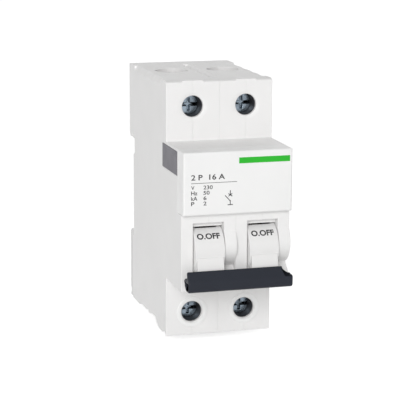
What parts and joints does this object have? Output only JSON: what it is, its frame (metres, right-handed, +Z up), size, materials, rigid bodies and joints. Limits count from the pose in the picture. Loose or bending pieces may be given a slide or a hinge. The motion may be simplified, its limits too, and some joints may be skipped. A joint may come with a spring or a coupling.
{
  "type": "circuit breaker",
  "caption": "DIN-rail miniature circuit breaker in a pale plastic case, with toggles joined by a dark tie bar below a stepped front cover and screw terminals top and bottom.",
  "frame": {"origin": "middle of the seat that rests on the rail, on the seam between the poles", "axes": "+Z up, +Y into the rail, +X to the right seen from the front"},
  "size_m": [0.036, 0.0747, 0.085],
  "materials": {
    "shell": "satin",
    "cover": "satin",
    "side_plate_plastic": "satin",
    "toggle_plastic": "satin",
    "bar_plastic": "satin",
    "clip_plastic": "satin",
    "inner_plastic": "satin",
    "bobbin": "satin",
    "fibre": "matt",
    "screw_steel": "zinc plated",
    "plated_steel": "zinc plated",
    "spring_steel": "drawn",
    "soft_iron": "pressed",
    "arc_steel": "pressed",
    "bimetal": "rolled",
    "copper": "pressed",
    "copper_wire": "drawn",
    "silver": "pressed"
  },
  "bodies": {
    "case": {"left_case_base": "shell", "left_case_cover": "shell", "right_case_base": "shell", "right_case_cover": "shell", "front_cover": "cover", "side_plate": "side_plate_plastic", "toggle_shaft": "plated_steel", "pivot_pins": "plated_steel", "case_rivets": "plated_steel", "toggle_springs": "spring_steel", "magnet_cores": "soft_iron", "fixed_contacts": "silver", "arc_side_plates": "fibre", "arc_runners": "arc_steel", "left_line_busbar": "copper", "left_load_busbar": "copper", "left_coil_bobbin": "bobbin", "left_coil": "copper_wire", "left_magnet_yoke": "soft_iron", "left_plunger_spring": "spring_steel", "left_contact_carrier": "copper", "left_arc_plates": "arc_steel", "left_bimetal": "bimetal", "left_flex_braid": "copper_wire", "left_clip_spring": "spring_steel", "right_line_busbar": "copper", "right_load_busbar": "copper", "right_coil_bobbin": "bobbin", "right_coil": "copper_wire", "right_magnet_yoke": "soft_iron", "right_plunger_spring": "spring_steel", "right_contact_carrier": "copper", "right_arc_plates": "arc_steel", "right_bimetal": "bimetal", "right_flex_braid": "copper_wire", "right_clip_spring": "spring_steel"},
    "handle": {"handle_bar": "bar_plastic", "left_toggle": "toggle_plastic", "right_toggle": "toggle_plastic", "link_pins": "plated_steel"},
    "trip": {"trip_bar": "inner_plastic", "left_trip_lever": "inner_plastic", "right_trip_lever": "inner_plastic"},
    "left_link": {"left_toggle_link": "plated_steel"},
    "left_contact": {"left_contact_arm": "copper"},
    "left_plunger": {"left_plunger": "soft_iron"},
    "left_clip": {"left_rail_clip": "clip_plastic"},
    "left_line_screw": {"left_line_screw": "screw_steel"},
    "left_load_screw": {"left_load_screw": "screw_steel"},
    "left_line_clamp": {"left_line_clamp": "plated_steel"},
    "left_load_clamp": {"left_load_clamp": "plated_steel"},
    "right_link": {"right_toggle_link": "plated_steel"},
    "right_contact": {"right_contact_arm": "copper"},
    "right_plunger": {"right_plunger": "soft_iron"},
    "right_clip": {"right_rail_clip": "clip_plastic"},
    "right_line_screw": {"right_line_screw": "screw_steel"},
    "right_load_screw": {"right_load_screw": "screw_steel"},
    "right_line_clamp": {"right_line_clamp": "plated_steel"},
    "right_load_clamp": {"right_load_clamp": "plated_steel"}
  },
  "joints": [
    {"name": "handle_turn", "type": "hinge", "parent": "case", "child": "handle", "pos_m": [0, -0.057, -0.01], "axis": [-1, 0, 0], "range_deg": [0, 84]},
    {"name": "left_link_turn", "type": "hinge", "parent": "handle", "child": "left_link", "pos_m": [-0.009, -0.05791, -0.00704], "axis": [1, 0, 0], "range_deg": [0, 86.62]},
    {"name": "left_contact_turn", "type": "hinge", "parent": "case", "child": "left_contact", "pos_m": [-0.009, -0.036, 0.001], "axis": [1, 0, 0], "range_deg": [0, 29.4]},
    {"name": "left_plunger_slide", "type": "slide", "parent": "case", "child": "left_plunger", "axis": [0, 0, -1], "range_m": [0, 0.0022], "stiffness_N_per_m": 300, "springref_m": -0.001, "deforming": ["left_plunger_spring"]},
    {"name": "left_clip_slide", "type": "slide", "parent": "case", "child": "left_clip", "axis": [0, 0, -1], "range_m": [0, 0.004], "stiffness_N_per_m": 500, "springref_m": -0.004, "deforming": ["left_clip_spring"]},
    {"name": "left_line_screw_turn", "type": "hinge", "parent": "case", "child": "left_line_screw", "pos_m": [-0.009, -0.038, 0.034], "axis": [0, 1, 0], "range_deg": [0, 3420]},
    {"name": "left_line_clamp_slide", "type": "slide", "parent": "case", "child": "left_line_clamp", "axis": [0, -1, 0], "range_m": [0, 0.0076]},
    {"name": "left_load_screw_turn", "type": "hinge", "parent": "case", "child": "left_load_screw", "pos_m": [-0.009, -0.038, -0.03465], "axis": [0, 1, 0], "range_deg": [0, 3420]},
    {"name": "left_load_clamp_slide", "type": "slide", "parent": "case", "child": "left_load_clamp", "axis": [0, -1, 0], "range_m": [0, 0.0076]},
    {"name": "right_link_turn", "type": "hinge", "parent": "handle", "child": "right_link", "pos_m": [0.009, -0.05791, -0.00704], "axis": [1, 0, 0], "range_deg": [0, 86.62]},
    {"name": "right_contact_turn", "type": "hinge", "parent": "case", "child": "right_contact", "pos_m": [0.009, -0.036, 0.001], "axis": [1, 0, 0], "range_deg": [0, 29.4]},
    {"name": "right_plunger_slide", "type": "slide", "parent": "case", "child": "right_plunger", "axis": [0, 0, -1], "range_m": [0, 0.0022], "deforming": ["right_plunger_spring"]},
    {"name": "right_clip_slide", "type": "slide", "parent": "case", "child": "right_clip", "axis": [0, 0, -1], "range_m": [0, 0.004], "stiffness_N_per_m": 500, "springref_m": -0.004, "deforming": ["right_clip_spring"]},
    {"name": "right_line_screw_turn", "type": "hinge", "parent": "case", "child": "right_line_screw", "pos_m": [0.009, -0.038, 0.034], "axis": [0, 1, 0], "range_deg": [0, 3420]},
    {"name": "right_line_clamp_slide", "type": "slide", "parent": "case", "child": "right_line_clamp", "axis": [0, -1, 0], "range_m": [0, 0.0076]},
    {"name": "right_load_screw_turn", "type": "hinge", "parent": "case", "child": "right_load_screw", "pos_m": [0.009, -0.038, -0.03465], "axis": [0, 1, 0], "range_deg": [0, 3420]},
    {"name": "right_load_clamp_slide", "type": "slide", "parent": "case", "child": "right_load_clamp", "axis": [0, -1, 0], "range_m": [0, 0.0076]},
    {"name": "trip_turn", "type": "hinge", "parent": "case", "child": "trip", "pos_m": [0, -0.028, 0.003], "axis": [-1, 0, 0], "range_deg": [0, 9.6]}
  ],
  "couplings": [
    {"joint": "left_link_turn", "follows": "handle_turn", "ratio": 1.0312},
    {"joint": "left_contact_turn", "follows": "handle_turn", "ratio": 0.35},
    {"joint": "left_line_screw_turn", "follows": "left_line_clamp_slide", "rad_per_m": 7854},
    {"joint": "left_load_screw_turn", "follows": "left_load_clamp_slide", "rad_per_m": 7854},
    {"joint": "right_link_turn", "follows": "handle_turn", "ratio": 1.0312},
    {"joint": "right_contact_turn", "follows": "handle_turn", "ratio": 0.35},
    {"joint": "right_plunger_slide", "follows": "left_plunger_slide", "ratio": 1},
    {"joint": "right_line_screw_turn", "follows": "right_line_clamp_slide", "rad_per_m": 7854},
    {"joint": "right_load_screw_turn", "follows": "right_load_clamp_slide", "rad_per_m": 7854},
    {"joint": "trip_turn", "follows": "left_plunger_slide", "rad_per_m": 76.16}
  ]
}
